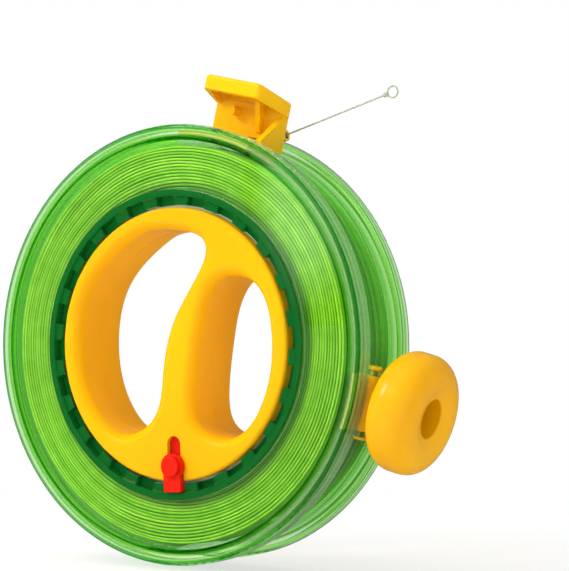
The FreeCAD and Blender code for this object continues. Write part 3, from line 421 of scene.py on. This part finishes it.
# ---- steel small parts -------------------------------------------------------------------------
# Screws, axle, washer, ball and spring are zinc-plated steel, turned or headed, with
# a fine brushed grain.
zinc_steel = empty_material("zinc-plated steel")
tree = zinc_steel.node_tree
place = object_place(tree)
marks = noise(tree, place, scale=3000.0, detail=2.0)
cloud = noise(tree, place, scale=250.0, detail=2.0)
metal = add(tree, "ShaderNodeBsdfPrincipled", values={"Metallic": 1.0},
            links={"Base Color": ramp(tree, cloud, (0.0, linear("#A9ABB0")), (1.0, linear("#D3D4D8"))),
                   "Roughness": remap(tree, marks, low=0.22, high=0.40),
                   "Normal": bumped(tree, marks, 0.2, 0.00002)})
end_with(tree, metal)
dress(zinc_steel, "steel", "guide_screws", "knob_axle", "knob_washer", "grip_screws",
      "detent_ball", "detent_spring")

# ---- eyelet ------------------------------------------------------------------------------------
# Hard ring pressed in the guide's boss, tumbled to a mirror polish so that it doesn't cut the line.
polished = empty_material("polished hard chrome")
tree = polished.node_tree
marks = noise(tree, object_place(tree), scale=2500.0, detail=2.0)
metal = add(tree, "ShaderNodeBsdfPrincipled", values={"Metallic": 1.0, "Base Color": linear("#D8D9DC")},
            links={"Roughness": remap(tree, marks, low=0.06, high=0.16)})
end_with(tree, metal)
dress(polished, "eyelet", "guide_eyelet")

# ---- free line ---------------------------------------------------------------------------------
# The line on its way to the kite: 0.7 mm braid, taut, from the pack through the casing's slot
# and the guide's eyelet, to a small loop tied in its end.
line_diameter = 0.0007
line_points = [Vector(p) for p in [
    (-0.00622, 0.010, 0.08252), (0.03023, 0.010, 0.08527), (0.03621, 0.010, 0.08572),
    (0.04198, 0.010, 0.08735), (0.08336, 0.010, 0.09906)]]

free_braid = empty_material("grey-green braided line")
tree = free_braid.node_tree
twist = add(tree, "ShaderNodeTexWave", settings={"bands_direction": "DIAGONAL"},
            values={"Scale": 700.0, "Distortion": 1.0, "Detail": 1.0}, links={"Vector": object_place(tree)})
strands = twist.outputs["Fac"]
yarn = add(tree, "ShaderNodeBsdfPrincipled", values={"Roughness": 0.6, "Sheen Weight": 0.2},
           links={"Base Color": ramp(tree, strands, (0.0, linear("#8C9C88")), (1.0, linear("#C3CDBC"))),
                  "Normal": bumped(tree, strands, 0.5, 0.0001)})
end_with(tree, yarn)
dress(free_braid, "free_line", "line_loop")

curve = bpy.data.curves.new("free_line", "CURVE")
curve.dimensions = "3D"
curve.bevel_depth = line_diameter / 2
curve.bevel_resolution = 3
curve.resolution_u = 8
curve.use_fill_caps = True
spline = curve.splines.new("NURBS")
spline.points.add(len(line_points) - 1)
for point, at in zip(spline.points, line_points):
    point.co = (at.x, at.y, at.z, 1.0)
spline.order_u = 3
spline.use_endpoint_u = True
free_line = bpy.data.objects.new("free_line", curve)
bpy.context.scene.collection.objects.link(free_line)
free_line.data.materials.append(free_braid)
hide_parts("kite_line")
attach(free_line, "casing")

# ---- floor and backdrop ------------------------------------------------------------------------
# A plain pale sheet below the winder. It takes the soft shadow and runs to white far away. Gloss
# shows the room instead of it, so that no horizon crosses the clear wall.
floor_level = -0.0925
floor_reach = 6
floor_mesh = bpy.data.meshes.new("floor")
corners = [(-floor_reach, -floor_reach), (floor_reach, -floor_reach), (floor_reach, floor_reach),
           (-floor_reach, floor_reach)]
floor_mesh.from_pydata([(x, y, floor_level) for x, y in corners], [], [(0, 1, 2, 3)])
floor = bpy.data.objects.new("floor", floor_mesh)
bpy.context.scene.collection.objects.link(floor)
pale_paper = empty_material("pale paper")
tree = pale_paper.node_tree
ray = add(tree, "ShaderNodeLightPath")
reach = add(tree, "ShaderNodeVectorMath", settings={"operation": "LENGTH"}, links={0: object_place(tree)})
whiter = remap(tree, reach.outputs["Value"], 0.10, 0.38, 0.65, 1.0, smooth=True)
part_white = add(tree, "ShaderNodeMath", settings={"operation": "MULTIPLY"},
                 links={0: ray.outputs["Is Camera Ray"], 1: whiter})
paper = add(tree, "ShaderNodeBsdfDiffuse", values={"Color": (0.93, 0.93, 0.93, 1)})
seen_white = add(tree, "ShaderNodeEmission", values={"Color": (1, 1, 1, 1), "Strength": 1.0})
sheet = add(tree, "ShaderNodeMixShader", links={0: part_white.outputs[0], 1: paper.outputs[0],
                                                2: seen_white.outputs[0]})
unseen = add(tree, "ShaderNodeBsdfTransparent")
end_with(tree, add(tree, "ShaderNodeMixShader",
                   links={0: ray.outputs["Is Glossy Ray"], 1: sheet.outputs[0], 2: unseen.outputs[0]}))
floor_mesh.materials.append(pale_paper)

# ---- studio light ------------------------------------------------------------------------------
# A room with pale walls, brighter above and on the left, plainly white to the camera. In
# reflections its front is dim and its back a little brighter; through the clear walls its back and
# top are the brightest.


def toward(tree, place, direction):
    """How far place lies in a direction: their dot product."""
    product = add(tree, "ShaderNodeVectorMath", settings={"operation": "DOT_PRODUCT"},
                  values={1: direction}, links={0: place})
    return product.outputs["Value"]


world = bpy.data.worlds.new("studio")
bpy.context.scene.world = world
world.use_nodes = True
tree = world.node_tree
tree.nodes.clear()
ray = add(tree, "ShaderNodeLightPath")
place = add(tree, "ShaderNodeTexCoord").outputs["Generated"]
wall_light = remap(tree, toward(tree, place, (-0.55, -0.35, 0.75)), -0.9, 0.9, 0.55, 0.85)
heading = add(tree, "ShaderNodeSeparateXYZ", links={"Vector": place})
in_gloss = remap(tree, heading.outputs["Y"], -0.1, 0.8, 0.05, 0.2, smooth=True)
strength = add(tree, "ShaderNodeMix", settings={"data_type": "FLOAT"},
               links={0: ray.outputs["Is Glossy Ray"], 2: wall_light, 3: in_gloss})
room = add(tree, "ShaderNodeBackground", values={"Color": (1.0, 0.98, 0.92, 1)},
           links={"Strength": strength.outputs[0]})
backdrop_light = remap(tree, toward(tree, place, (-0.4, 0.5, 0.77)), -0.3, 0.5, 0.35, 1.0)
backdrop = add(tree, "ShaderNodeBackground", links={"Strength": backdrop_light})
through = add(tree, "ShaderNodeMixShader", links={0: ray.outputs["Is Transmission Ray"],
                                                  1: room.outputs[0], 2: backdrop.outputs[0]})
white = add(tree, "ShaderNodeBackground", values={"Color": (1, 1, 1, 1), "Strength": 1.0})
sky = add(tree, "ShaderNodeMixShader", links={0: ray.outputs["Is Camera Ray"], 1: through.outputs[0],
                                              2: white.outputs[0]})
add(tree, "ShaderNodeOutputWorld", links={"Surface": sky.outputs[0]})

# ---- lamps and cards ---------------------------------------------------------------------------
# One large soft box high on the left, one overhead, weak ones on the right and low on the left.
# They are hidden from gloss, the low one also from what shines back through the walls. Highlights
# come from two cards with soft borders: one behind the large soft box, and a small pale one for
# the front's sheen.


def aim(holder, place, target):
    """Put a lamp or card at place and turn its face to target."""
    holder.location = place
    holder.rotation_euler = (Vector(target) - Vector(place)).to_track_quat("-Z", "Y").to_euler()
    bpy.context.scene.collection.objects.link(holder)
    return holder


def soft_box(name, place, target, size, watts):
    """Square area lamp, slightly warm, at place, aimed at target."""
    lamp = bpy.data.lights.new(name, "AREA")
    lamp.shape = "SQUARE"
    lamp.size = size
    lamp.energy = watts
    lamp.color = (1.0, 0.97, 0.89)
    return aim(bpy.data.objects.new(name, lamp), place, target)


def glow_card(name, place, target, half_width, half_height, strength):
    """Glowing oval card, brightest in the middle and dark at its edge, so that its sheen has no
    hard border."""
    mesh = bpy.data.meshes.new(name)
    w, h = half_width, half_height
    mesh.from_pydata([(-w, -h, 0), (w, -h, 0), (w, h, 0), (-w, h, 0)], [], [(0, 1, 2, 3)])
    glow = empty_material(name)
    tree = glow.node_tree
    share = add(tree, "ShaderNodeVectorMath", settings={"operation": "MULTIPLY"},
                values={1: (1 / w, 1 / h, 0)}, links={0: object_place(tree)})
    reach = add(tree, "ShaderNodeVectorMath", settings={"operation": "LENGTH"},
                links={0: share.outputs["Vector"]})
    fade = remap(tree, reach.outputs["Value"], 0.35, 1.0, strength, 0.0, smooth=True)
    end_with(tree, add(tree, "ShaderNodeEmission", links={"Strength": fade}))
    mesh.materials.append(glow)
    return aim(bpy.data.objects.new(name, mesh), place, target)


key = soft_box("key soft box", (-0.55, -0.75, 0.75), (0, 0, 0), size=0.4, watts=7.0)
fill = soft_box("fill soft box", (1.0, -0.6, 0.1), (0, 0, -0.02), size=0.7, watts=2.6)
low = soft_box("low soft box", (-0.9, -0.6, 0.0), (0, 0, -0.06), size=0.4, watts=2.5)
overhead = soft_box("overhead soft box", (-0.25, -0.2, 1.0), (0.03, 0, 0), size=0.5, watts=2.5)
for lamp in (key, fill, low, overhead):
    lamp.visible_glossy = False
low.visible_transmission = False
highlight = glow_card("highlight card", (-0.58, -0.79, 0.79), (0, 0, 0), half_width=0.22, half_height=0.22,
                      strength=9.0)
sheen = glow_card("sheen card", (-0.46, -0.87, 0.142), (0.065, -0.02, 0.06), half_width=0.06,
                  half_height=0.13, strength=1.0)

# ---- camera ------------------------------------------------------------------------------------
# Seen from the front right, level with the middle of the reel, from about 0.7 m away.
view_azimuth = math.radians(32.352)
view_elevation = math.radians(-1.579)
view_distance = 0.6848
view_centre = Vector((0.0557, -0.020, 0.0231))
away = Vector((math.sin(view_azimuth) * math.cos(view_elevation),
               -math.cos(view_azimuth) * math.cos(view_elevation), math.sin(view_elevation)))
lens = bpy.data.cameras.new("camera")
lens.sensor_width = 36.0
lens.lens = 110.4
camera = bpy.data.objects.new("camera", lens)
camera.location = view_centre + away * view_distance
camera.rotation_euler = (-away).to_track_quat("-Z", "Y").to_euler()
bpy.context.scene.collection.objects.link(camera)
bpy.context.scene.camera = camera
bpy.context.scene.view_settings.view_transform = "Standard"
